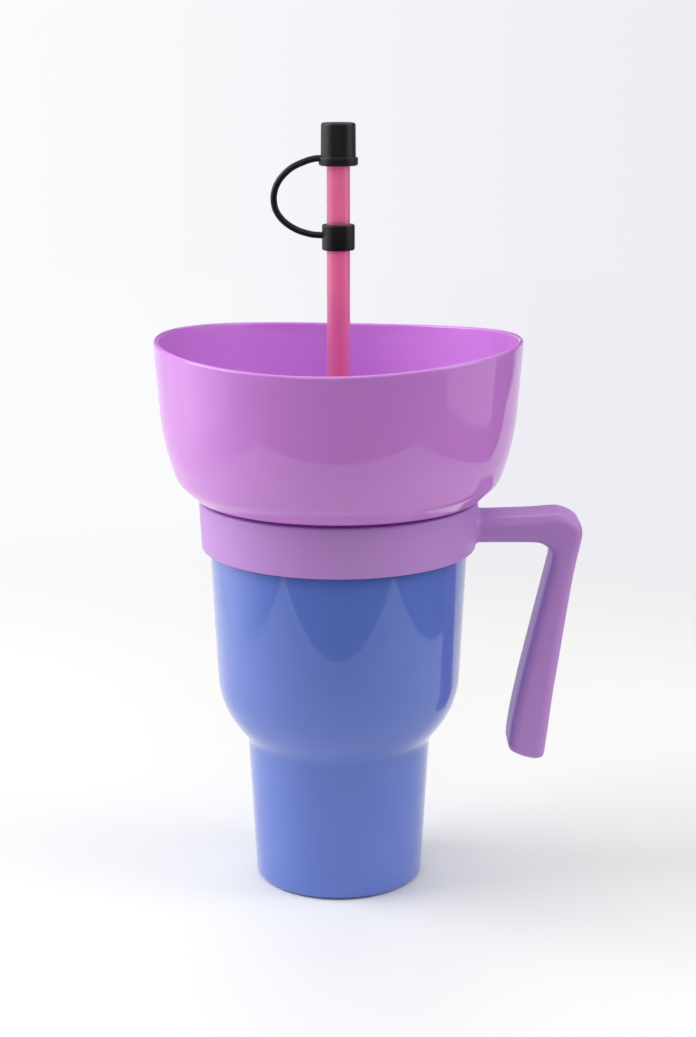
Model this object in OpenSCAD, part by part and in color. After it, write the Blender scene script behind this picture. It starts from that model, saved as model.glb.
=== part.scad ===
// Snack bowl tumbler: a stepped double-wall cup, a snack bowl that closes it, a handle on a ring
// and a capped straw. Millimetres, +Z up, the origin at the centre of the flat base.

/* [Cup] */
// Radius of the cup's side wall, carried down to the table
base_r = 37.5; // [36:0.05:39]
// Height of the corner where the narrow lower body meets the shoulder
step_low_z = 65.4; // [62:0.1:68]
// Height of the corner where the shoulder meets the upper body
step_high_z = 81.5; // [79:0.1:86]
// Radius of the upper body at its shoulder corner
step_high_r = 53.55; // [52.5:0.05:54]
// Thickness of each steel wall
steel_t = 0.8; // [0.6:0.1:1]
// Gap between the outer and the inner wall of the body
wall_gap = 2.2; // [1.6:0.1:2.6]
// Height of the ledge that carries the handle ring
ledge_z = 158.2; // [157:0.1:159]
// Outer radius of the cup's neck
neck_r = 55; // [54.8:0.1:55.2]
// Height of the cup's lip
lip_z = 174.2; // [173:0.1:174.2]

/* [Handle] */
// Height of the ring's lower edge
ring_low_z = 152.8; // [152:0.1:154]
// Height of the ring's upper edge
ring_high_z = 174.6; // [174.2:0.1:175]
// Outer radius of the ring at its lower edge
ring_low_r = 60.35; // [60:0.05:61]
// Outer radius of the ring at its upper edge
ring_high_r = 61.4; // [61:0.05:62]
// Depth of the arm and grip, front to back
grip_depth = 25; // [20:0.5:28]
// Radius of the arm's and grip's long edges on the outside of the bend
grip_round = 4.6; // [3:0.1:5]
// Radius of their long edges on the inside of the bend
grip_inner_round = 1.6; // [1:0.1:3]

/* [Bowl] */
// Mean height of the rim
rim_z = 242.9; // [235:0.1:250]
// How far the rim rises at the sides and dips at the front and back
rim_wave = 2.26; // [0.5:0.01:4]
// Outer radius of the wall where it reaches the mean rim height
rim_r = 79.8; // [78:0.1:84]
// Thickness of the bowl's wall
bowl_t = 2.4; // [2:0.1:2.8]
// Height of the bowl's lower outer edge
bowl_low_z = 176.6; // [176.2:0.1:177.2]
// Radius of the bowl's lower outer edge
bowl_low_r = 63.2; // [62:0.1:64]
// Height of the centre column's top
column_z = 205; // [190:1:215]

/* [Straw and cap] */
// Outer radius of the straw
straw_r = 5; // [4.5:0.05:5.2]
// Thickness of the straw's wall
straw_t = 0.8; // [0.6:0.1:1]
// Height of the straw's lower end
straw_low_z = 12; // [10:0.5:20]
// Height of the straw's upper end
straw_high_z = 332; // [328:0.5:332.5]
// Height of the cap's lower edge
cap_low_z = 318.2; // [316:0.1:320]
// Height of the cap's top
cap_high_z = 336.2; // [335.6:0.1:340]
// Height of the collar's lower edge
collar_low_z = 282.6; // [280:0.1:285]
// Height of the collar's upper edge
collar_high_z = 293.6; // [293:0.1:298]
// Radius of the tether's round section
tether_r = 1.4; // [1.1:0.05:1.6]

/* [Hidden] */
$fn = 96;

cup_blue = "#5868b4";
steel_grey = "#b9bcc2";
bowl_purple = "#b673c6";
handle_purple = "#a874bb";
straw_pink = "#ea5f9c";
rubber_black = "#232327";
seal_white = "#e8e6ea";

corner_steps = 8; // straight runs in one rounded corner
fit_gap = 0.05; // running clearance of a bush or cap on the straw
part_gap = 0.3; // clearance between pieces that turn past each other
seat_gap = 0.1; // clearance between faces that rest on each other
soft_edge = 0.3; // rounding of a moulded edge

// Cup
lower_slope = 0.0535;
upper_slope = 0.045;
base_round = 2.8;
step_low_round = 9.4;
step_high_round = 39;
lip_t = 1;
base_plate_r = 32;
liner_floor_z = 6.8;
ledge_round = 1;
lip_round = 0.4;
liner_bend_low_z = ledge_z - 10; // the two bends that bring the liner in to the neck
liner_bend_high_z = ledge_z - 3;
liner_bend_in = 0.6;
liner_bend_round = 6;
bead_low_z = ledge_z + 4.6; // the rolled bead that keeps the handle ring on the neck
bead_out = 0.6;
bead_h = 2;
bead_round = 0.4;
step_low_r = base_r + lower_slope * step_low_z;
ledge_r = step_high_r + upper_slope * (ledge_z - step_high_z);
liner_off = steel_t + wall_gap;
mouth_r = neck_r - liner_off - steel_t;

// Handle ring
ring_flange_t = 4;
ring_skirt_r = ledge_r + 0.5;
recess_r = 58.7;
ring_edge = 1;
ring_inner_edge = 0.5;

// Bowl
floor_t = 2.6;
floor_high_z = bowl_low_z + floor_t;
neck_out_r = recess_r - part_gap;
skirt_in_r = neck_r + bead_out + part_gap + 0.1;
skirt_low_z = ledge_z + ring_flange_t + 0.4;
flare_r = 70.6;
flare_z = 183.5;
flare_round = 11.6;
waist_r = 76.65;
waist_z = 200.5;
waist_round = 105;
column_low_r = 12;
column_high_r = 9.8;
column_t = 2;
floor_round = 6;
column_foot_round = 3;
column_top_round = 1;
bowl_low_round = 0.6;
skirt_round = 0.5;
rim_stock = 2; // height left above the rim for the wave to be cut from
rim_bulge_r = pow(rim_r, 2) / (4 * rim_wave); // radius of the cylinder that shapes the rim

// Grommet
bush_r = 6.6;
bush_flange_r = 8.6;
bush_flange_t = 1.2;
bush_lip = 1.6;
bush_lip_in = 1.6; // how far the lower lip's two edges stand in from the column's bore
bush_lip_out = 0.4;
bush_round = 0.5;

// Cap and collar
cap_r = 7.5;
cap_flange_r = 8.4;
cap_flange_t = 3.6;
cap_top_t = 2.8;
cap_taper = 0.15;
cap_flange_low_round = 1;
cap_flange_high_round = 0.5;
cap_waist_round = 0.3;
cap_top_round = 1.2;
dimple_r = 3.4;
dimple_floor_r = 2.6;
dimple_t = 0.5;
dimple_round = 0.5;
collar_r = 7.05;
collar_round = 0.8;
tether_seat_r = cap_flange_r + fit_gap; // where the tether's end face meets the cap's flange
tether_sides = 12;
tether_steps = 5; // rings between two route points

// The tether's centre line in the XZ plane, from inside the cap's flange round to inside the collar
tether_route = [
    [-6, 321.2], [-9.5, 321.2], [-13.5, 320.2], [-19.5, 317.5], [-24, 313.5], [-26.7, 308.9], [-27.5, 304],
    [-26.4, 299], [-23, 294.6], [-17.7, 291.2], [-12, 289.4], [-8.5, 289], [-6, 288.9]
];

// The handle's sections, root to end: the inner and the outer point of each in the XZ plane
handle_sections = [
    [[56, 155], [56, 169.8]],
    [[62, 155], [62, 169.6]],
    [[63.3, 155.5], [63.3, 168.4]],
    [[65.5, 155.9], [65.5, 167.6]],
    [[84, 155.9], [84, 168.2]],
    [[88.2, 155.5], [94.3, 169]],
    [[89.7, 154.9], [98.5, 168.6]],
    [[91.1, 154], [102.3, 167.1]],
    [[92.1, 152.9], [105.5, 164.7]],
    [[93.1, 151.5], [106.7, 160.8]],
    [[93.5, 149.3], [106.3, 156.5]],
    [[92.8, 144.8], [104.4, 147.2]],
    [[90, 132.7], [102, 133.1]],
    [[82.5, 99.7], [97.6, 101.4]],
    [[79.4, 84.9], [95.5, 86.6]],
    [[77, 71.6], [93.9, 72.4]],
    [[76.1, 63.5], [92.5, 60.5]],
    [[76.2, 61.5], [92.3, 58.1]],
    [[77.1, 59.5], [91.6, 56.2]],
    [[79.6, 57.7], [90.1, 55.1]]
];
// The depth of the first sections, where they flare into the ring, and of the last, as shares of the bar's
handle_root_depth = [1.16, 1.13, 1.04];
handle_end_depth = [0.98, 0.94, 0.85, 0.68];

// A unit vector along v
function unit(v) = v / norm(v);

// The arc that rounds corner p, between neighbours a and b, to a radius
function corner_arc(a, p, b, radius) =
    radius <= 0 ? [p] :
    let (
        to_a = unit(a - p),
        to_b = unit(b - p),
        half = acos(to_a * to_b) / 2,
        centre = p + unit(to_a + to_b) * radius / sin(half),
        from = p + to_a * radius / tan(half) - centre,
        to = p + to_b * radius / tan(half) - centre,
        start = atan2(from.y, from.x),
        turn = atan2(to.y, to.x) - start,
        sweep = turn > 180 ? turn - 360 : turn < -180 ? turn + 360 : turn
    )
    [for (i = [0:corner_steps])
        centre + radius * [cos(start + sweep * i / corner_steps), sin(start + sweep * i / corner_steps)]];

// A closed outline from corners [r, z, rounding radius]
function rounded(corners) =
    let (n = len(corners))
    [for (i = [0:n - 1])
        let (a = corners[(i + n - 1) % n], p = corners[i], b = corners[(i + 1) % n])
        each corner_arc([a.x, a.y], [p.x, p.y], [b.x, b.y], p.z)];

// Turns the outline of rounded corners round the Z axis
module turned(corners) {
    rotate_extrude() polygon(rounded(corners));
}

// A list in reverse order
function reversed(list) = [for (i = [len(list) - 1:-1:0]) list[i]];

// A path of corners [r, z, rounding radius], moved to its left by t, which is inwards on a path that climbs
function inset(path, t) =
    let (last = len(path) - 1)
    [for (i = [0:last])
        let (
            p = path[i],
            a = path[max(i - 1, 0)],
            b = path[min(i + 1, last)],
            before = unit(i == 0 ? [b.x - p.x, b.y - p.y] : [p.x - a.x, p.y - a.y]),
            after = unit(i == last ? before : [b.x - p.x, b.y - p.y]),
            bisector = unit([-before.y - after.y, before.x + after.x]),
            reach = t / (bisector * [-before.y, before.x]),
            left_turn = before.x * after.y - before.y * after.x
        )
        [p.x + bisector.x * reach, p.y + bisector.y * reach, max(0, p.z + (left_turn > 0 ? -t : t) * sign(p.z))]];

// The cup's outer surface from the base plate's edge up to the lip
body_path = [
    [base_plate_r, 0, 0],
    [base_r, 0, base_round],
    [step_low_r, step_low_z, step_low_round],
    [step_high_r, step_high_z, step_high_round],
    [ledge_r, ledge_z, ledge_round],
    [neck_r, ledge_z, ledge_round],
    [neck_r, bead_low_z, soft_edge],
    [neck_r + bead_out, bead_low_z + bead_h * 0.3, bead_round],
    [neck_r + bead_out, bead_low_z + bead_h * 0.7, bead_round],
    [neck_r, bead_low_z + bead_h, soft_edge],
    [neck_r, lip_z - lip_t, 0]
];

module cup_outer_shell() {
    color(cup_blue)
    turned(concat(body_path, reversed(inset(body_path, steel_t))));
}

module cup_inner_liner() {
    side = inset(body_path, liner_off);
    low_r = base_r + lower_slope * liner_floor_z - liner_off;
    outside = [
        [0, liner_floor_z - steel_t, 0],
        [low_r, liner_floor_z - steel_t, base_round + 2],
        side[2],
        side[3],
        [ledge_r - liner_off - liner_bend_in, liner_bend_low_z, liner_bend_round],
        [neck_r - liner_off, liner_bend_high_z, liner_bend_round],
        [neck_r - liner_off, lip_z - lip_t, 0]
    ];
    inside = inset(outside, steel_t);
    color(steel_grey)
    turned(concat(
        outside,
        [[neck_r, lip_z - lip_t, 0], [neck_r, lip_z, lip_round], [mouth_r, lip_z, lip_round]],
        [for (i = [5:-1:0]) inside[i]]
    ));
}

module cup_base_plate() {
    color(cup_blue)
    turned([
        [0, 0, 0],
        [base_plate_r - fit_gap, 0, 0.2],
        [base_plate_r - fit_gap, steel_t, 0],
        [0, steel_t, 0]
    ]);
}

module ring_band() {
    flange_low_z = ledge_z + seat_gap;
    turned([
        [ring_low_r, ring_low_z, ring_edge],
        [ring_high_r, ring_high_z, ring_edge],
        [recess_r, ring_high_z, soft_edge],
        [recess_r, flange_low_z + ring_flange_t, soft_edge],
        [neck_r + part_gap, flange_low_z + ring_flange_t, 0],
        [neck_r + part_gap, flange_low_z, ring_inner_edge],
        [ring_skirt_r, flange_low_z, soft_edge],
        [ring_skirt_r, ring_low_z, ring_inner_edge]
    ]);
}

// One rounded section of the handle: a plane through its inner and outer points, and depth along Y
function section_ring(inner, outer, depth) =
    let (
        mid = (inner + outer) / 2,
        across = unit(outer - inner),
        half = norm(outer - inner) / 2
    )
    [for (quarter = [0:3], i = [0:3])
        let (
            turn = quarter * 90 + i * 30,
            sx = quarter == 0 || quarter == 3 ? 1 : -1,
            sy = quarter < 2 ? 1 : -1,
            radius = min(sx > 0 ? grip_round : grip_inner_round, half * 0.8, depth * 0.4),
            u = sx * (half - radius) + radius * cos(turn),
            v = sy * (depth / 2 - radius) + radius * sin(turn)
        )
        [mid.x + across.x * u, -v, mid.y + across.y * u]];

// A closed skin over rings of equal length, as one polyhedron
module skin(rings) {
    n = len(rings[0]);
    last = len(rings) - 1;
    walls = [for (k = [0:last - 1], i = [0:n - 1])
        let (a = k * n + i, b = k * n + (i + 1) % n)
        each [[a, a + n, b], [b, a + n, b + n]]];
    ends = [[for (i = [0:n - 1]) i], [for (i = [n - 1:-1:0]) last * n + i]];
    polyhedron(points = [for (ring = rings) each ring], faces = concat(ends, walls));
}

module handle_bar() {
    root = len(handle_root_depth);
    tail = len(handle_sections) - len(handle_end_depth);
    skin([for (i = [0:len(handle_sections) - 1])
        let (share = i < root ? handle_root_depth[i] : i < tail ? 1 : handle_end_depth[i - tail])
        section_ring(handle_sections[i][0], handle_sections[i][1], grip_depth * share)]);
}

module handle_ring() {
    color(handle_purple) {
        ring_band();
        difference() {
            handle_bar();
            translate([0, 0, ring_low_z - 1]) cylinder(r = ring_low_r - 0.2, h = ring_high_z - ring_low_z + 2);
        }
    }
}

module snack_bowl() {
    top_z = rim_z + rim_wave + rim_stock;
    top_r = rim_r + (top_z - rim_z) * (rim_r - waist_r) / (rim_z - waist_z);
    outside = [
        [bowl_low_r, bowl_low_z, 0],
        [flare_r, flare_z, flare_round],
        [waist_r, waist_z, waist_round],
        [top_r, top_z, 0]
    ];
    inside = inset(outside, bowl_t);
    low_run = inside[1] - inside[0];
    floor_r = inside[0].x - (inside[0].y - floor_high_z) * low_run.x / low_run.y;
    color(bowl_purple)
    difference() {
        turned(concat(
            [[neck_out_r, bowl_low_z, soft_edge], [bowl_low_r, bowl_low_z, bowl_low_round]],
            [for (i = [1:3]) outside[i]],
            [for (i = [3:-1:1]) inside[i]],
            [
                [floor_r, floor_high_z, floor_round],
                [column_low_r, floor_high_z, column_foot_round],
                [column_high_r, column_z, column_top_round],
                [bush_r + fit_gap, column_z, 0],
                [bush_r + fit_gap, column_z - column_t, 0],
                [column_high_r - column_t, column_z - column_t, 0],
                [column_low_r - column_t, bowl_low_z, 0],
                [skirt_in_r, bowl_low_z, skirt_round],
                [skirt_in_r, skirt_low_z, skirt_round],
                [neck_out_r, skirt_low_z, skirt_round]
            ]
        ));
        translate([0, 0, rim_z - rim_wave + rim_bulge_r])
            rotate([90, 0, 0])
            cylinder(r = rim_bulge_r, h = 3 * rim_r, center = true, $fn = 360);
    }
}

module bowl_gasket() {
    inner_r = mouth_r + 0.2;
    color(seal_white)
    turned([
        [inner_r, lip_z + seat_gap, soft_edge],
        [neck_r, lip_z + seat_gap, soft_edge],
        [neck_r, bowl_low_z - seat_gap, soft_edge],
        [inner_r, bowl_low_z - seat_gap, soft_edge]
    ]);
}

module straw_grommet() {
    under_z = column_z - column_t;
    inner_r = straw_r + fit_gap;
    column_bore_r = column_high_r - column_t;
    color(seal_white)
    turned([
        [inner_r, under_z - bush_flange_t - bush_lip, 0],
        [column_bore_r - bush_lip_in, under_z - bush_flange_t - bush_lip, soft_edge],
        [column_bore_r - bush_lip_out, under_z - seat_gap, 0],
        [bush_r, under_z - seat_gap, 0],
        [bush_r, column_z + seat_gap, 0],
        [bush_flange_r, column_z + seat_gap, 0],
        [bush_flange_r, column_z + seat_gap + bush_flange_t, bush_round],
        [inner_r, column_z + seat_gap + bush_flange_t, soft_edge]
    ]);
}

module straw() {
    color(straw_pink)
    turned([
        [straw_r - straw_t, straw_low_z, 0],
        [straw_r, straw_low_z, soft_edge],
        [straw_r, straw_high_z, soft_edge],
        [straw_r - straw_t, straw_high_z, 0]
    ]);
}

module tether_collar() {
    color(rubber_black)
    turned([
        [straw_r + fit_gap, collar_low_z, 0],
        [collar_r, collar_low_z, collar_round],
        [collar_r, collar_high_z, collar_round],
        [straw_r + fit_gap, collar_high_z, 0]
    ]);
}

module straw_cap() {
    color(rubber_black)
    turned([
        [straw_r + fit_gap, cap_low_z, 0],
        [cap_flange_r, cap_low_z, cap_flange_low_round],
        [cap_flange_r, cap_low_z + cap_flange_t, cap_flange_high_round],
        [cap_r, cap_low_z + cap_flange_t, cap_waist_round],
        [cap_r - cap_taper, cap_high_z, cap_top_round],
        [dimple_r, cap_high_z, dimple_round],
        [dimple_floor_r, cap_high_z - dimple_t, dimple_round],
        [0, cap_high_z - dimple_t, 0],
        [0, cap_high_z - cap_top_t, 0],
        [straw_r + fit_gap, cap_high_z - cap_top_t, soft_edge]
    ]);
}

// A point on the smooth curve through b and c, with a and d beyond them, at t from 0 to 1
function spline(a, b, c, d, t) =
    (2 * b + (c - a) * t + (2 * a - 5 * b + 4 * c - d) * t * t + (3 * b - a - 3 * c + d) * t * t * t) / 2;

// The smooth curve through every point of a route
function smooth_route(points, steps) =
    let (last = len(points) - 1)
    concat(
        [for (i = [0:last - 1], k = [0:steps - 1])
            spline(points[max(i - 1, 0)], points[i], points[i + 1], points[min(i + 2, last)], k / steps)],
        [points[last]]
    );

module cap_tether() {
    path = smooth_route(tether_route, tether_steps);
    last = len(path) - 1;
    color(rubber_black)
    difference() {
        skin([for (i = [0:last])
            let (
                along = unit(path[min(i + 1, last)] - path[max(i - 1, 0)]),
                side = [-along.y, along.x]
            )
            [for (k = [0:tether_sides - 1])
                let (turn = -360 * k / tether_sides, u = tether_r * cos(turn))
                [path[i].x + side.x * u, tether_r * sin(turn), path[i].y + side.y * u]]]);
        translate([0, 0, cap_low_z]) cylinder(r = tether_seat_r, h = 2 * cap_flange_t);
        translate([0, 0, collar_low_z]) cylinder(r = collar_r, h = collar_high_z - collar_low_z);
    }
}

cup_outer_shell();
cup_inner_liner();
cup_base_plate();
handle_ring();
snack_bowl();
bowl_gasket();
straw_grommet();
straw();
tether_collar();
straw_cap();
cap_tether();
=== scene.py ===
"""Looks of the snack bowl tumbler. Shapes are given in millimetres and built in metres, in the CAD's own
frame: +Z up, the origin at the centre of the flat base, +X towards the handle."""

import math

import bmesh
import bpy
from mathutils import Euler, Matrix, Vector


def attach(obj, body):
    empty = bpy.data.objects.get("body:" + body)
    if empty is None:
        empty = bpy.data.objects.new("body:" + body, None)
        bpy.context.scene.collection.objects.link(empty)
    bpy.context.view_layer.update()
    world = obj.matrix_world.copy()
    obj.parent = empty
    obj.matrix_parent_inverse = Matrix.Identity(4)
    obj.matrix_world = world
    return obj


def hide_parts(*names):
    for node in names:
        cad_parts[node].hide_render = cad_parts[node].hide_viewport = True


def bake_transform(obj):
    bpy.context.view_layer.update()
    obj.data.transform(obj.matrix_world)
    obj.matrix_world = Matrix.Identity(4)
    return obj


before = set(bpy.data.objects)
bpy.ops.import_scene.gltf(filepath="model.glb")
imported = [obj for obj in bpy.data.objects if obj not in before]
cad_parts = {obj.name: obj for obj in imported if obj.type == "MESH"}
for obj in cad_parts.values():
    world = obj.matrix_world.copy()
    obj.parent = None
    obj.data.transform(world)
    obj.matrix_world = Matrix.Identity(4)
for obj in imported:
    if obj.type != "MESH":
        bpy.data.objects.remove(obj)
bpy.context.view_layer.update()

MM = 0.001

# Clearances
FIT_GAP = 0.05
SEAT_GAP = 0.1
PART_GAP = 0.3

# Cup
BASE_R = 37.5
BASE_ROUND = 2.8
LOWER_SLOPE = 0.0535
STEP_LOW_Z = 65.4
STEP_LOW_R = BASE_R + LOWER_SLOPE * STEP_LOW_Z
STEP_LOW_ROUND = 9.4
STEP_HIGH_Z = 81.5
STEP_HIGH_R = 53.55
STEP_HIGH_ROUND = 39
UPPER_SLOPE = 0.045
LEDGE_Z = 158.2
LEDGE_R = STEP_HIGH_R + UPPER_SLOPE * (LEDGE_Z - STEP_HIGH_Z)
NECK_R = 55
BEAD_LOW_Z = LEDGE_Z + 4.6
BEAD_OUT = 0.6
BEAD_H = 2
LIP_Z = 174.2
LIP_T = 1
STEEL_T = 0.8
LINER_OFF = 3
MOUTH_R = NECK_R - LINER_OFF - STEEL_T
BASE_PLATE_R = 32
BASE_PLATE_RIM = 6
LINER_FLOOR_Z = 6.8
LINER_BEND_LOW_Z = LEDGE_Z - 10
LINER_BEND_HIGH_Z = LEDGE_Z - 3
LINER_BEND_IN = 0.6

# Handle
RING_LOW_Z = 152.8
RING_HIGH_Z = 174.6
RING_LOW_R = 60.35
RING_HIGH_R = 61.4
RING_FLANGE_T = 4
RING_SKIRT_R = LEDGE_R + 0.5
RECESS_R = 58.7
GRIP_DEPTH = 25
GRIP_ROUND = 4.6
ROOT_FILLET = 3.0
ROOT_FILLET_UNDER = 1.7
ROOT_STAND_OFFS = (-1.2, 0, 0.08, 0.25, 0.55, 1.0, 1.6, 2.3, 3.0)  # each fillet ring, off the ring band
SECTION_STEPS = 7

# Bowl
BOWL_T = 2.4
BOWL_LOW_R = 63.2
BOWL_LOW_Z = 176.6
FLARE_R = 70.6
FLARE_Z = 183.5
FLARE_ROUND = 11.6
WAIST_R = 76.65
WAIST_Z = 200.5
WAIST_ROUND = 105
RIM_R = 79.8
RIM_Z = 242.9
RIM_ROUND = 1.15
RIM_WAVE = 2.26
RIM_TURN = -9
WAVE_FROM_Z = WAIST_Z + 16
WAVE_FROM_R = 40  # outside the column
FLOOR_T = 2.6
FLOOR_Z = BOWL_LOW_Z + FLOOR_T
NECK_OUT_R = RECESS_R - PART_GAP
SKIRT_IN_R = NECK_R + BEAD_OUT + 0.4
SKIRT_LOW_Z = LEDGE_Z + 4.4
COLUMN_Z = 205
COLUMN_LOW_R = 12
COLUMN_HIGH_R = 9.8
COLUMN_T = 2

# Gasket and bush
GASKET_IN_R = MOUTH_R + 0.2
BUSH_R = 6.6
BUSH_FOOT_H = 2.8
BUSH_FOOT_GAP = 0.4
BUSH_FOOT_TAPER = 1.2
BUSH_FLANGE_R = 8.6
BUSH_FLANGE_T = 1.2

# Straw, cap and tether
STRAW_R = 5
STRAW_IN_R = 4.2
STRAW_LOW_Z = 12
STRAW_HIGH_Z = 332
BORE_R = STRAW_R + FIT_GAP
CAP_LOW_Z = 318.2
CAP_HIGH_Z = 336.2
CAP_R = 7.5
CAP_FLANGE_R = 8.4
CAP_FLANGE_T = 3.6
CAP_TOP_T = 2.8
CAP_TAPER = 0.15
CAP_DIMPLE_R = 3.4
CAP_DIMPLE_FLOOR_R = 2.6
CAP_DIMPLE_DEPTH = 0.5
COLLAR_LOW_Z = 282.6
COLLAR_HIGH_Z = 293.6
COLLAR_R = 7.05
TETHER_R = 1.4
TETHER_SIDES = 24
TETHER_ROUTE = [
    (-6, 321.2), (-9.5, 321.2), (-13.5, 320.2), (-19.5, 317.5), (-24, 313.5), (-26.7, 308.9), (-27.5, 304),
    (-26.4, 299), (-23, 294.6), (-17.7, 291.2), (-12, 289.4), (-8.5, 289), (-6, 288.9),
]

# The handle's sections from the arm's root to the grip's end: inner and outer point in the XZ plane, and the
# section's share of the depth
HANDLE_SECTIONS = [
    ((65.5, 155.9), (65.5, 167.6), 1),
    ((84, 155.9), (84, 168.2), 1),
    ((88.2, 155.5), (94.3, 169), 1),
    ((89.7, 154.9), (98.5, 168.6), 1),
    ((91.1, 154), (102.3, 167.1), 1),
    ((92.1, 152.9), (105.5, 164.7), 1),
    ((93.1, 151.5), (106.7, 160.8), 1),
    ((93.5, 149.3), (106.3, 156.5), 1),
    ((92.8, 144.8), (104.4, 147.2), 1),
    ((90, 132.7), (102, 133.1), 1),
    ((82.5, 99.7), (97.6, 101.4), 1),
    ((79.4, 84.9), (95.5, 86.6), 1),
    ((77, 71.6), (93.9, 72.4), 1),
    ((76.1, 63.5), (92.5, 60.5), 0.98),
    ((76.2, 61.5), (92.3, 58.1), 0.94),
    ((77.1, 59.5), (91.6, 56.2), 0.85),
    ((79.6, 57.7), (90.1, 55.1), 0.68),
]

# Camera, solved from the photograph's rim, seam and base
PHOTO_H = 1037
FOCAL_PX = 2000
CAMERA_AT = (0.0041, -0.8586, 0.3683)
CAMERA_DOWN = 13.345
SENSOR = 36


# ---------------------------------------------------------------- materials

def rgb(hex_colour):
    """An sRGB hex colour as linear RGBA."""
    channels = [int(hex_colour[i:i + 2], 16) / 255 for i in (1, 3, 5)]
    return [c / 12.92 if c <= 0.04045 else ((c + 0.055) / 1.055) ** 2.4 for c in channels] + [1]


def add(tree, kind, links=None, **settings):
    """Adds a shader node. links maps an input's name or number to a value or to another node's output."""
    made = tree.nodes.new("ShaderNode" + kind)
    for key, value in settings.items():
        setattr(made, key, value)
    for key, value in (links or {}).items():
        if isinstance(value, bpy.types.NodeSocket):
            tree.links.new(value, made.inputs[key])
        else:
            made.inputs[key].default_value = value
    return made


def new_material(name, **principled):
    """A material with one Principled shader; returns the material, its tree and the shader."""
    material = bpy.data.materials.new(name)
    material.use_nodes = True
    tree = material.node_tree
    tree.nodes.clear()
    shader = add(tree, "BsdfPrincipled", {k.replace("_", " "): v for k, v in principled.items()})
    add(tree, "OutputMaterial", {"Surface": shader.outputs[0]})
    return material, tree, shader


def grain(tree, size_mm, detail=2, roughness=0.5):
    """Noise whose lumps are about size_mm across, on Object coordinates."""
    place = add(tree, "TexCoord").outputs["Object"]
    return add(tree, "TexNoise", {
        "Vector": place, "Scale": 1 / (size_mm * MM), "Detail": detail, "Roughness": roughness,
    }).outputs["Fac"]


def between(tree, factor, low, high):
    """A colour ramp from low to high, each a (position, hex) pair."""
    ramp = add(tree, "ValToRGB", {"Fac": factor})
    for stop, (position, colour) in zip(ramp.color_ramp.elements, (low, high)):
        stop.position = position
        stop.color = rgb(colour)
    return ramp.outputs["Color"]


def tones(tree, shader, size_mm, low_hex, high_hex):
    """Gives the shader two close tones in lumps about size_mm across."""
    blend = between(tree, grain(tree, size_mm), (0.3, low_hex), (0.7, high_hex))
    tree.links.new(blend, shader.inputs["Base Color"])


def level(tree, factor, low, high):
    """Maps a 0 to 1 factor onto low to high."""
    return add(tree, "MapRange", {"Value": factor, "To Min": low, "To Max": high}).outputs["Result"]


def bump(tree, height, depth_mm):
    """A surface normal whose bumps are depth_mm deep."""
    return add(tree, "Bump", {"Height": height, "Distance": depth_mm * MM, "Strength": 1}).outputs["Normal"]


def gloss_polypropylene():
    """Injection-moulded and polished in the tool: a deep gloss with a faint flow ripple under it."""
    material, tree, shader = new_material("gloss_polypropylene", Roughness=0.05, IOR=1.52)
    tones(tree, shader, 60, "#ce86dc", "#d38be1")
    tree.links.new(bump(tree, grain(tree, 5, 1), 0.004), shader.inputs["Normal"])
    shader.inputs["Subsurface Weight"].default_value = 0.12
    shader.inputs["Subsurface Radius"].default_value = (1.0, 0.5, 1.0)
    shader.inputs["Subsurface Scale"].default_value = 0.002
    return material


def painted_steel():
    """Sprayed enamel on drawn steel under a clear coat: hard gloss with fine orange peel."""
    material, tree, shader = new_material("painted_steel", Roughness=0.4, Specular_IOR_Level=0.2)
    tones(tree, shader, 40, "#5a75cc", "#5e78d0")
    tree.links.new(bump(tree, grain(tree, 1.6, 1), 0.006), shader.inputs["Coat Normal"])
    shader.inputs["Coat Weight"].default_value = 1
    shader.inputs["Coat Roughness"].default_value = 0.03
    return material


def satin_polypropylene():
    """Moulded against a finely sparked tool: a soft satin with a grain that only shows close up."""
    material, tree, shader = new_material("satin_polypropylene", IOR=1.5)
    tones(tree, shader, 50, "#bb88d2", "#c08dd7")
    tree.links.new(bump(tree, grain(tree, 0.5, 3, 0.7), 0.012), shader.inputs["Normal"])
    tree.links.new(level(tree, grain(tree, 0.8), 0.36, 0.48), shader.inputs["Roughness"])
    return material


def milky_polypropylene():
    """Extruded tube: clouded, so that light from behind it comes through as an even pink."""
    material, tree, shader = new_material("milky_polypropylene", Roughness=0.28, IOR=1.49)
    tones(tree, shader, 30, "#ffa2cc", "#ffa8d0")
    shader.inputs["Transmission Weight"].default_value = 0.75
    return material


def black_silicone():
    """Compression-moulded silicone: a dull black skin that holds fine pale dust."""
    material, tree, shader = new_material("black_silicone", Roughness=0.42, IOR=1.43)
    tree.links.new(between(tree, grain(tree, 0.9, 4, 0.8), (0.62, "#0d0d10"), (0.8, "#2c2c32")),
                   shader.inputs["Base Color"])
    tree.links.new(bump(tree, grain(tree, 0.6, 3, 0.7), 0.02), shader.inputs["Normal"])
    return material


def white_silicone():
    """Moulded seal rings: soft, matt and slightly milky."""
    material, tree, shader = new_material("white_silicone", Roughness=0.55, IOR=1.43)
    tones(tree, shader, 3, "#dcdadf", "#e4e2e7")
    tree.links.new(bump(tree, grain(tree, 0.5), 0.01), shader.inputs["Normal"])
    return material


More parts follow.
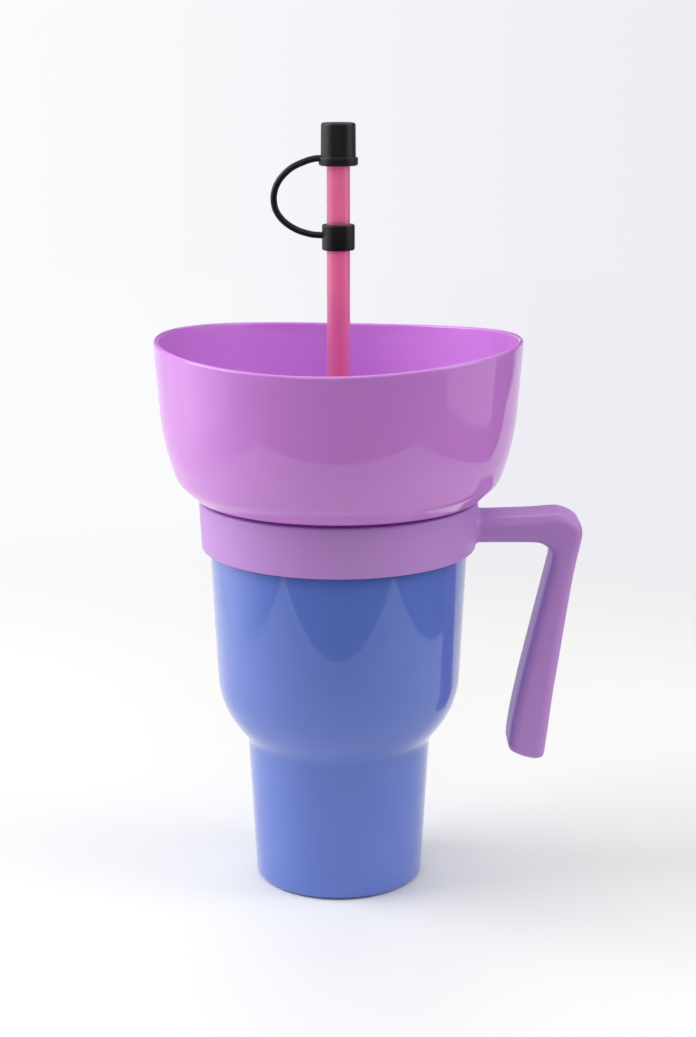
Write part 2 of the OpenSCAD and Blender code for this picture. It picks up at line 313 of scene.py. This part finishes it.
def spun_steel():
    """Drawn stainless liner, polished while it turned: fine rings round the axis."""
    material, tree, shader = new_material("spun_steel", Metallic=1.0)
    place = add(tree, "TexCoord").outputs["Object"]
    rings = add(tree, "Mapping", {"Vector": place, "Scale": (2, 2, 900)}).outputs["Vector"]
    lines = add(tree, "TexNoise", {"Vector": rings, "Scale": 2, "Detail": 3}).outputs["Fac"]
    tree.links.new(between(tree, lines, (0.3, "#b4b7bc"), (0.7, "#c6c8cc")), shader.inputs["Base Color"])
    tree.links.new(level(tree, lines, 0.2, 0.34), shader.inputs["Roughness"])
    tree.links.new(bump(tree, lines, 0.01), shader.inputs["Normal"])
    return material


# ---------------------------------------------------------------- shapes

def corner_arc(a, p, b, radius, steps):
    """The arc of a radius that rounds corner p between its neighbours a and b."""
    a, p, b = Vector(a), Vector(p), Vector(b)
    if radius <= 0:
        return [p]
    to_a, to_b = (a - p).normalized(), (b - p).normalized()
    half = to_a.angle(to_b) / 2
    centre = p + (to_a + to_b).normalized() * radius / math.sin(half)
    first = p + to_a * radius / math.tan(half) - centre
    last = p + to_b * radius / math.tan(half) - centre
    sweep = first.angle_signed(last)
    return [centre + Matrix.Rotation(-sweep * i / steps, 2) @ first for i in range(steps + 1)]


def rounded(corners, closed, steps):
    """An outline in the (r, z) plane from corners (r, z) or (r, z, rounding radius)."""
    count = len(corners)
    points = []
    for i, corner in enumerate(corners):
        end = not closed and i in (0, count - 1)
        radius = 0 if end or len(corner) < 3 else corner[2]
        points += corner_arc(corners[i - 1][:2], corner[:2], corners[(i + 1) % count][:2], radius, steps)
    return points


def inset(path, t):
    """A path of corners (r, z, radius) moved to its left by t, which is inwards on a path that climbs."""
    moved = []
    for i, corner in enumerate(path):
        p = Vector(corner[:2])
        before = (p - Vector(path[i - 1][:2])).normalized() if i else None
        after = (Vector(path[i + 1][:2]) - p).normalized() if i < len(path) - 1 else before
        before = before or after
        bisector = Vector((-before.y - after.y, before.x + after.x)).normalized()
        reach = t / bisector.dot(Vector((-before.y, before.x)))
        left_turn = before.x * after.y - before.y * after.x
        radius = corner[2] if len(corner) > 2 else 0
        radius = max(0, radius + (-t if left_turn > 0 else t)) if radius else 0
        moved.append((*(p + bisector * reach), radius))
    return moved


def finished(name, mesh, material, body, nodes, sharp=35):
    """Makes the bmesh a smooth piece that rides on a body and stands for CAD nodes."""
    data = bpy.data.meshes.new(name)
    mesh.to_mesh(data)
    mesh.free()
    data.shade_smooth()
    data.set_sharp_from_angle(angle=math.radians(sharp))
    data.materials.append(material)
    piece = bpy.data.objects.new(name, data)
    bpy.context.scene.collection.objects.link(piece)
    if body:
        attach(piece, body)
    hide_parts(*nodes)
    return piece


def spun(corners, closed=True, arc_steps=10, turns=160):
    """A bmesh spun round the Z axis from corners (r, z, rounding radius) in millimetres."""
    mesh = bmesh.new()
    outline = [mesh.verts.new((p.x * MM, 0, p.y * MM)) for p in rounded(corners, closed, arc_steps)]
    pairs = list(zip(outline, outline[1:])) + ([(outline[-1], outline[0])] if closed else [])
    edges = [mesh.edges.new(pair) for pair in pairs]
    bmesh.ops.spin(mesh, geom=outline + edges, cent=(0, 0, 0), axis=(0, 0, 1), angle=math.tau, steps=turns,
                   use_merge=True)
    bmesh.ops.remove_doubles(mesh, verts=mesh.verts, dist=1e-7)
    bmesh.ops.recalc_face_normals(mesh, faces=mesh.faces)
    return mesh


def skinned(mesh, rings):
    """Joins rings of points, in metres, into one closed skin in the bmesh."""
    loops = []
    for ring in rings:
        verts = [mesh.verts.new(p) for p in ring]
        loops.append([mesh.edges.new((a, b)) for a, b in zip(verts, verts[1:] + verts[:1])])
    for near, far in zip(loops, loops[1:]):
        bmesh.ops.bridge_loops(mesh, edges=near + far)
    for loop in (loops[0], loops[-1]):
        bmesh.ops.contextual_create(mesh, geom=loop)
    bmesh.ops.recalc_face_normals(mesh, faces=mesh.faces)


def smooth_route(points, steps):
    """A Catmull-Rom curve through every point, with steps runs between two points."""
    last = len(points) - 1
    route = []
    for i in range(last):
        a, b, c, d = (Vector(points[min(max(k, 0), last)]) for k in (i - 1, i, i + 1, i + 2))
        for k in range(steps):
            t = k / steps
            route.append((2 * b + (c - a) * t + (2 * a - 5 * b + 4 * c - d) * t ** 2
                          + (3 * b - a - 3 * c + d) * t ** 3) / 2)
    return route + [Vector(points[last])]


# ---------------------------------------------------------------- the cup

BODY_PATH = [
    (BASE_PLATE_R, 0, 0),
    (BASE_R, 0, BASE_ROUND),
    (STEP_LOW_R, STEP_LOW_Z, STEP_LOW_ROUND),
    (STEP_HIGH_R, STEP_HIGH_Z, STEP_HIGH_ROUND),
    (LEDGE_R, LEDGE_Z, 1),
    (NECK_R, LEDGE_Z, 1),
    (NECK_R, BEAD_LOW_Z, 0.3),
    (NECK_R + BEAD_OUT, BEAD_LOW_Z + BEAD_H * 0.3, 0.4),
    (NECK_R + BEAD_OUT, BEAD_LOW_Z + BEAD_H * 0.7, 0.4),
    (NECK_R, BEAD_LOW_Z + BEAD_H, 0.3),
    (NECK_R, LIP_Z - LIP_T, 0),
]


def cup_body(paint):
    """The outer wall, from the base plate's seat up to the rolled lip."""
    mesh = spun(BODY_PATH + inset(BODY_PATH, STEEL_T)[::-1], turns=256, arc_steps=16)
    return finished("cup_body", mesh, paint, "cup", ["cup_outer_shell"])


def base_plate(paint):
    """The disc that closes the underside."""
    plate_r = BASE_PLATE_R - FIT_GAP
    mesh = spun([
        (0, 0),
        (plate_r - BASE_PLATE_RIM, 0),
        (plate_r, 0, 0.2),
        (plate_r, STEEL_T),
        (0, STEEL_T),
    ], closed=False)
    return finished("base_plate", mesh, paint, "cup", ["cup_base_plate"])


def liner(steel):
    """The inner wall, with its floor and the lip that rolls over the outer wall."""
    side = inset(BODY_PATH, LINER_OFF)
    low_r = BASE_R + LOWER_SLOPE * LINER_FLOOR_Z - LINER_OFF
    outside = [
        (0, LINER_FLOOR_Z - STEEL_T, 0),
        (low_r, LINER_FLOOR_Z - STEEL_T, 4.8),
        side[2],
        side[3],
        (LEDGE_R - LINER_OFF - LINER_BEND_IN, LINER_BEND_LOW_Z, 6),
        (NECK_R - LINER_OFF, LINER_BEND_HIGH_Z, 6),
        (NECK_R - LINER_OFF, LIP_Z - LIP_T, 0),
    ]
    inside = inset(outside, STEEL_T)[:-1]
    lip = [(NECK_R, LIP_Z - LIP_T, 0.2), (NECK_R, LIP_Z, 0.45), (MOUTH_R, LIP_Z, 0.45)]
    mesh = spun(outside + lip + inside[::-1], closed=False, turns=192)
    return finished("cup_liner", mesh, steel, "cup", ["cup_inner_liner"])


# ---------------------------------------------------------------- the handle

def section(inner, outer, share):
    """One rounded section of the bar, as points (u across the bar, v along Y) about its middle."""
    half = (Vector(outer) - Vector(inner)).length / 2
    depth = GRIP_DEPTH * share / 2
    radius = min(GRIP_ROUND, half * 0.8, depth * 0.8)
    points = []
    for quarter, (side_u, side_v) in enumerate(((1, 1), (-1, 1), (-1, -1), (1, -1))):
        for i in range(SECTION_STEPS + 1):
            turn = math.radians(quarter * 90 + i * 90 / SECTION_STEPS)
            normal = Vector((math.cos(turn), math.sin(turn)))
            centre = Vector((side_u * (half - radius), side_v * (depth - radius)))
            points.append((centre + normal * radius, normal))
    return points


def placed(inner, outer, share):
    """A section's points in the object's frame, in metres."""
    inner, outer = Vector(inner), Vector(outer)
    across = (outer - inner).normalized()
    middle = (inner + outer) / 2
    return [
        Vector((middle.x + across.x * p.x, p.y, middle.y + across.y * p.x)) * MM
        for p, _ in section(inner, outer, share)
    ]


def root_rings():
    """The fillet where the arm grows out of the ring: it lies on the ring's wall and curves into the arm."""
    inner, outer, share = HANDLE_SECTIONS[0]
    middle_z = (inner[1] + outer[1]) / 2
    rings = []
    for stand_off in ROOT_STAND_OFFS:
        ring = []
        for p, normal in section(inner, outer, share):
            fillet = ROOT_FILLET + (ROOT_FILLET_UNDER - ROOT_FILLET) * max(0, -normal.x)
            down = max(0, fillet - max(stand_off, 0))
            spread = fillet - math.sqrt(max(0, fillet ** 2 - down ** 2))
            y = p.y + normal.y * spread
            z = middle_z + p.x + normal.x * spread
            wall_r = RING_LOW_R + (RING_HIGH_R - RING_LOW_R) * (z - RING_LOW_Z) / (RING_HIGH_Z - RING_LOW_Z)
            ring.append(Vector((math.sqrt(wall_r ** 2 - y ** 2) + stand_off, y, z)) * MM)
        rings.append(ring)
    return rings


def handle(plastic):
    """The ring band with its inner flange, and the arm and grip as one swept bar."""
    flange_low = LEDGE_Z + SEAT_GAP
    mesh = spun([
        (RING_LOW_R, RING_LOW_Z, 1),
        (RING_HIGH_R, RING_HIGH_Z, 1),
        (RECESS_R, RING_HIGH_Z, 0.4),
        (RECESS_R, flange_low + RING_FLANGE_T, 0.4),
        (NECK_R + PART_GAP, flange_low + RING_FLANGE_T, 0.2),
        (NECK_R + PART_GAP, flange_low, 0.5),
        (RING_SKIRT_R, flange_low, 0.2),
        (RING_SKIRT_R, RING_LOW_Z, 0.5),
    ], turns=256)
    inners = smooth_route([s[0] for s in HANDLE_SECTIONS], 4)
    outers = smooth_route([s[1] for s in HANDLE_SECTIONS], 4)
    shares = smooth_route([(s[2], 0) for s in HANDLE_SECTIONS], 4)
    bar = [placed(a, b, c.x) for a, b, c in zip(inners, outers, shares)]
    skinned(mesh, root_rings() + bar)
    return finished("handle_moulding", mesh, plastic, "handle", ["handle_ring"])


# ---------------------------------------------------------------- the bowl

def wave_rim(mesh):
    """Lifts the rim at two sides and dips it between them, along the wall's own slope."""
    for vert in mesh.verts:
        x, y, z = vert.co / MM
        r = math.hypot(x, y)
        if z > WAVE_FROM_Z and r > WAVE_FROM_R:
            turn = math.atan2(y, x) - math.radians(RIM_TURN)
            lift = RIM_WAVE * math.cos(2 * turn) * (z - WAVE_FROM_Z) / (RIM_Z - WAVE_FROM_Z)
            spread = 1 + lift * (RIM_R - WAIST_R) / (RIM_Z - WAIST_Z) / r
            vert.co = Vector((x * spread, y * spread, z + lift)) * MM


def bowl(plastic):
    """The bowl, with its centre column and the skirt that goes down inside the handle's ring."""
    outside = [
        (BOWL_LOW_R, BOWL_LOW_Z, 0),
        (FLARE_R, FLARE_Z, FLARE_ROUND),
        (WAIST_R, WAIST_Z, WAIST_ROUND),
        (RIM_R, RIM_Z, RIM_ROUND),
    ]
    inside = inset(outside, BOWL_T)
    low_run = Vector(inside[1][:2]) - Vector(inside[0][:2])
    floor_r = inside[0][0] - (inside[0][1] - FLOOR_Z) * low_run.x / low_run.y
    top = (inside[3][0], RIM_Z, RIM_ROUND)
    corners = [
        (NECK_OUT_R, BOWL_LOW_Z, 0.3),
        (BOWL_LOW_R, BOWL_LOW_Z, 0.6),
        *outside[1:],
        top,
        inside[2],
        inside[1],
        (floor_r, FLOOR_Z, 6),
        (COLUMN_LOW_R, FLOOR_Z, 3),
        (COLUMN_HIGH_R, COLUMN_Z, 1),
        (BUSH_R + FIT_GAP, COLUMN_Z, 0.3),
        (BUSH_R + FIT_GAP, COLUMN_Z - COLUMN_T, 0),
        (COLUMN_HIGH_R - COLUMN_T, COLUMN_Z - COLUMN_T, 0),
        (COLUMN_LOW_R - COLUMN_T, BOWL_LOW_Z, 0.5),
        (SKIRT_IN_R, BOWL_LOW_Z, 0.5),
        (SKIRT_IN_R, SKIRT_LOW_Z, 0.4),
        (NECK_OUT_R, SKIRT_LOW_Z, 0.6),
    ]
    mesh = spun(corners, arc_steps=14, turns=288)
    wave_rim(mesh)
    return finished("bowl_moulding", mesh, plastic, "bowl", ["snack_bowl"])


def gasket(silicone):
    """The seal between the cup's lip and the bowl."""
    low, high = LIP_Z + SEAT_GAP, BOWL_LOW_Z - SEAT_GAP
    mesh = spun([
        (GASKET_IN_R, low, 0.3),
        (NECK_R, low, 0.3),
        (NECK_R, high, 0.3),
        (GASKET_IN_R, high, 0.3),
    ])
    return finished("gasket_ring", mesh, silicone, "gasket", ["bowl_gasket"])


def grommet(silicone):
    """The bush that holds the straw in the column, with a flange above and a snap foot below."""
    under = COLUMN_Z - COLUMN_T - SEAT_GAP
    over = COLUMN_Z + SEAT_GAP
    foot_z = COLUMN_Z - COLUMN_T - BUSH_FOOT_H
    foot_r = COLUMN_HIGH_R - COLUMN_T - BUSH_FOOT_GAP
    mesh = spun([
        (BORE_R, foot_z, 0.2),
        (foot_r - BUSH_FOOT_TAPER, foot_z, 0.4),
        (foot_r, under, 0.2),
        (BUSH_R, under, 0),
        (BUSH_R, over, 0),
        (BUSH_FLANGE_R, over, 0.1),
        (BUSH_FLANGE_R, over + BUSH_FLANGE_T, 0.5),
        (BORE_R, over + BUSH_FLANGE_T, 0.3),
    ], turns=96)
    return finished("straw_bush", mesh, silicone, "grommet", ["straw_grommet"])


# ---------------------------------------------------------------- the straw and its cap

def straw_tube(plastic):
    mesh = spun([
        (STRAW_IN_R, STRAW_LOW_Z, 0.3),
        (STRAW_R, STRAW_LOW_Z, 0.3),
        (STRAW_R, STRAW_HIGH_Z, 0.3),
        (STRAW_IN_R, STRAW_HIGH_Z, 0.3),
    ], turns=96, arc_steps=5)
    return finished("straw_tube", mesh, plastic, "straw", ["straw"])


def collar(rubber):
    mesh = spun([
        (BORE_R, COLLAR_LOW_Z, 0.3),
        (COLLAR_R, COLLAR_LOW_Z, 0.8),
        (COLLAR_R, COLLAR_HIGH_Z, 0.8),
        (BORE_R, COLLAR_HIGH_Z, 0.3),
    ], turns=96, arc_steps=8)
    return finished("collar_sleeve", mesh, rubber, "collar", ["tether_collar"])


def cap(rubber):
    """The straw's cap, with a flange at its foot and a dimple in its top."""
    mesh = spun([
        (0, CAP_HIGH_Z - CAP_TOP_T),
        (BORE_R, CAP_HIGH_Z - CAP_TOP_T, 0.5),
        (BORE_R, CAP_LOW_Z, 0.3),
        (CAP_FLANGE_R, CAP_LOW_Z, 1),
        (CAP_FLANGE_R, CAP_LOW_Z + CAP_FLANGE_T, 0.5),
        (CAP_R, CAP_LOW_Z + CAP_FLANGE_T, 0.3),
        (CAP_R - CAP_TAPER, CAP_HIGH_Z, 1.2),
        (CAP_DIMPLE_R, CAP_HIGH_Z, 0.6),
        (CAP_DIMPLE_FLOOR_R, CAP_HIGH_Z - CAP_DIMPLE_DEPTH, 0.5),
        (0, CAP_HIGH_Z - CAP_DIMPLE_DEPTH),
    ], closed=False, turns=96, arc_steps=8)
    return finished("cap_moulding", mesh, rubber, "cap", ["straw_cap"])


def tether(rubber):
    """The loop between collar and cap, in the fixed shape it has while the cap is on."""
    path = smooth_route(TETHER_ROUTE, 8)
    rings = []
    for i, p in enumerate(path):
        along = (path[min(i + 1, len(path) - 1)] - path[max(i - 1, 0)]).normalized()
        side = Vector((-along.y, along.x))
        rings.append([
            Vector((p.x + side.x * TETHER_R * math.cos(turn), TETHER_R * math.sin(turn),
                    p.y + side.y * TETHER_R * math.cos(turn))) * MM
            for turn in (math.tau * k / TETHER_SIDES for k in range(TETHER_SIDES))
        ])
    mesh = bmesh.new()
    skinned(mesh, rings)
    piece = finished("tether_loop", mesh, rubber, None, ["cap_tether"])
    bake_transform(piece)
    return piece


# ---------------------------------------------------------------- the studio

# The sheet's sizes are in metres
FLOOR_HEX = "#f5f5f3"
BACKDROP_LEFT_HEX = "#fbfbfd"
BACKDROP_RIGHT_HEX = "#eeedf4"
SHEET_FRONT = 0.58
SHEET_BACK = 2.4
SHEET_HALF_WIDTH = 0.65
SHEET_FLARE = 0.45
SHEET_DROOP = 0.1
SHEET_EDGE = 0.3
SHEET_DROP = 0.0002  # keeps the sheet clear of the base
FADE_FROM = 0.3  # distance from the object at which the sheet starts to turn into the backdrop
FADE_TO = 0.75


def math_node(tree, operation, *values):
    """A Math node's result."""
    return add(tree, "Math", dict(enumerate(values)), operation=operation).outputs[0]


def soft_range(tree, value, low, high):
    """0 at low and 1 at high, easing in and out between them."""
    return add(tree, "MapRange", {"Value": value, "From Min": low, "From Max": high},
               interpolation_type="SMOOTHSTEP").outputs["Result"]


def backdrop_colour(tree, direction):
    """The backdrop's colour: a little brighter on the key light's side."""
    across = add(tree, "SeparateXYZ", {0: direction}).outputs["X"]
    side = soft_range(tree, across, -0.2, 0.2)
    return between(tree, side, (0, BACKDROP_LEFT_HEX), (1, BACKDROP_RIGHT_HEX))


def soft_step(value):
    """0 below 0 and 1 above 1, easing in and out between them."""
    t = min(max(value, 0), 1)
    return t * t * (3 - 2 * t)


def sheet_mesh():
    """A sheet of paper laid over a table: it widens towards the back and droops at its other edges."""
    mesh = bmesh.new()
    bmesh.ops.create_grid(mesh, x_segments=64, y_segments=96, size=1)
    for vert in mesh.verts:
        u, v = vert.co.xy
        y = -SHEET_FRONT + (SHEET_BACK + SHEET_FRONT) * ((v + 1) / 2) ** 1.5
        half = SHEET_HALF_WIDTH + SHEET_FLARE * soft_step((y - 0.3) / 0.7)
        x = u * half
        past = max(abs(x) - half, -SHEET_FRONT - y) + SHEET_EDGE
        vert.co = (x, y, -SHEET_DROP - SHEET_DROOP * min(max(past / SHEET_EDGE, 0), 1))
    data = bpy.data.meshes.new("studio_floor")
    mesh.to_mesh(data)
    mesh.free()
    data.shade_smooth()
    return data


def studio_floor():
    """The sheet, fading into the backdrop with distance wherever it is seen, also in a reflection."""
    data = sheet_mesh()
    floor = bpy.data.objects.new("studio_floor", data)
    bpy.context.scene.collection.objects.link(floor)
    material = bpy.data.materials.new("satin_paper")
    material.use_nodes = True
    tree = material.node_tree
    tree.nodes.clear()
    place = add(tree, "TexCoord").outputs["Object"]
    far = add(tree, "VectorMath", {0: place}, operation="LENGTH").outputs["Value"]
    fade = soft_range(tree, far, FADE_FROM, FADE_TO)
    fade = math_node(tree, "MULTIPLY", fade, seen(tree))
    paper = add(tree, "BsdfPrincipled", {"Base Color": rgb(FLOOR_HEX), "Roughness": 0.45}).outputs[0]
    outward = add(tree, "VectorMath", {0: place}, operation="NORMALIZE").outputs["Vector"]
    glow = add(tree, "Emission", {"Color": backdrop_colour(tree, outward), "Strength": 1}).outputs[0]
    pale = add(tree, "MixShader", {0: fade, 1: paper, 2: glow}).outputs[0]
    add(tree, "OutputMaterial", {"Surface": pale})
    data.materials.append(material)


def seen(tree):
    """1 for what the camera sees, directly, in a gloss or through the straw; 0 for light on the object."""
    path = add(tree, "LightPath").outputs
    either = math_node(tree, "MAXIMUM", path["Is Camera Ray"], path["Is Glossy Ray"])
    return math_node(tree, "MAXIMUM", either, path["Is Transmission Ray"])


LAMP_REACH = 1.25
LAMP_AIM = Vector((0, 0, 0.12))

# Each lamp's name, bearing, height, size and watts
LAMPS = (
    ("key", 183, 37, (0.9, 0.8), 11),
    ("low_left", 180, 8, (1, 0.9), 1),
    ("fill", -10, 30, (0.6, 0.6), 3.6),
    ("high_right", -20, 50, (0.8, 0.8), 1.7),
    ("low_right", 0, 8, (1, 0.9), 2.1),
    ("front", 270, 40, (1.2, 0.8), 3.6),
    ("back", 90, 50, (1.2, 0.8), 4.2),
)


def outward_to(bearing, height):
    """The direction at a bearing round the object and a height above it, both in degrees."""
    turn = Euler((0, -math.radians(height), math.radians(bearing)))
    return turn.to_matrix() @ Vector((1, 0, 0))


def softbox(name, bearing, height, size, watts):
    """A lamp that faces the object from a bearing and a height."""
    lamp = bpy.data.lights.new(name, "AREA")
    lamp.shape = "RECTANGLE"
    lamp.size, lamp.size_y = size
    lamp.energy = watts
    holder = bpy.data.objects.new(name, lamp)
    outward = outward_to(bearing, height) * LAMP_REACH
    holder.location = LAMP_AIM + outward
    holder.rotation_euler = (-outward).to_track_quat("-Z", "Y").to_euler()
    bpy.context.scene.collection.objects.link(holder)


ROOM_BASE = 0.02  # brightness of the room where nothing lights it
ROOM_TOP = 0.6  # brightness of the room straight overhead
GLOW = 1.3  # brightness of the white wall low on the left
GLOW_BEARING = 160
GLOW_HEIGHT = -10


def studio_world():
    """Soft light from overhead and from a wall on the left. The camera sees a plain backdrop in its place,
    and so do the glosses that mirror what is low behind the object."""
    world = bpy.data.worlds.new("studio")
    bpy.context.scene.world = world
    world.use_nodes = True
    tree = world.node_tree
    tree.nodes.clear()
    direction = add(tree, "TexCoord").outputs["Generated"]
    wall = outward_to(GLOW_BEARING, GLOW_HEIGHT)
    strength = ROOM_BASE
    for axis, power, brightness in ((Vector((0, 0, 1)), 2, ROOM_TOP), (wall, 4, GLOW)):
        towards = add(tree, "VectorMath", {0: direction, 1: axis}, operation="DOT_PRODUCT").outputs["Value"]
        towards = math_node(tree, "MAXIMUM", towards, 0)
        lobe = math_node(tree, "POWER", towards, power)
        strength = math_node(tree, "MULTIPLY_ADD", lobe, brightness, strength)
    room = add(tree, "Background", {"Color": rgb("#ffffff"), "Strength": strength})
    backdrop = add(tree, "Background", {"Color": backdrop_colour(tree, direction), "Strength": 1})
    path = add(tree, "LightPath").outputs
    through = math_node(tree, "MAXIMUM", path["Is Camera Ray"], path["Is Transmission Ray"])
    axes = add(tree, "SeparateXYZ", {0: direction}).outputs
    behind = soft_range(tree, axes["Y"], 0.7, 0.85)
    low = soft_range(tree, axes["Z"], 0.15, 0.05)
    low_behind = math_node(tree, "MULTIPLY", behind, low)
    mirrored = math_node(tree, "MULTIPLY", path["Is Glossy Ray"], low_behind)
    shown = math_node(tree, "MAXIMUM", through, mirrored)
    mixed = add(tree, "MixShader", {0: shown, 1: room.outputs[0], 2: backdrop.outputs[0]})
    add(tree, "OutputWorld", {"Surface": mixed.outputs[0]})


def photo_camera():
    """The photograph's own view."""
    lens = bpy.data.cameras.new("photo_camera")
    lens.sensor_width = SENSOR
    lens.lens = FOCAL_PX / PHOTO_H * SENSOR
    lens.clip_start = 0.05
    camera = bpy.data.objects.new("photo_camera", lens)
    camera.location = CAMERA_AT
    camera.rotation_euler = Euler((math.radians(90 - CAMERA_DOWN), 0, 0))
    bpy.context.scene.collection.objects.link(camera)
    bpy.context.scene.camera = camera


photo_camera()
studio_floor()
studio_world()
for lamp in LAMPS:
    softbox(*lamp)

gloss = gloss_polypropylene()
satin = satin_polypropylene()
paint = painted_steel()
steel = spun_steel()
milky = milky_polypropylene()
black = black_silicone()
white = white_silicone()

cup_body(paint)
base_plate(paint)
liner(steel)
handle(satin)
bowl(gloss)
gasket(white)
grommet(white)
straw_tube(milky)
collar(black)
cap(black)
tether(black)

bpy.context.scene.view_settings.view_transform = "Standard"
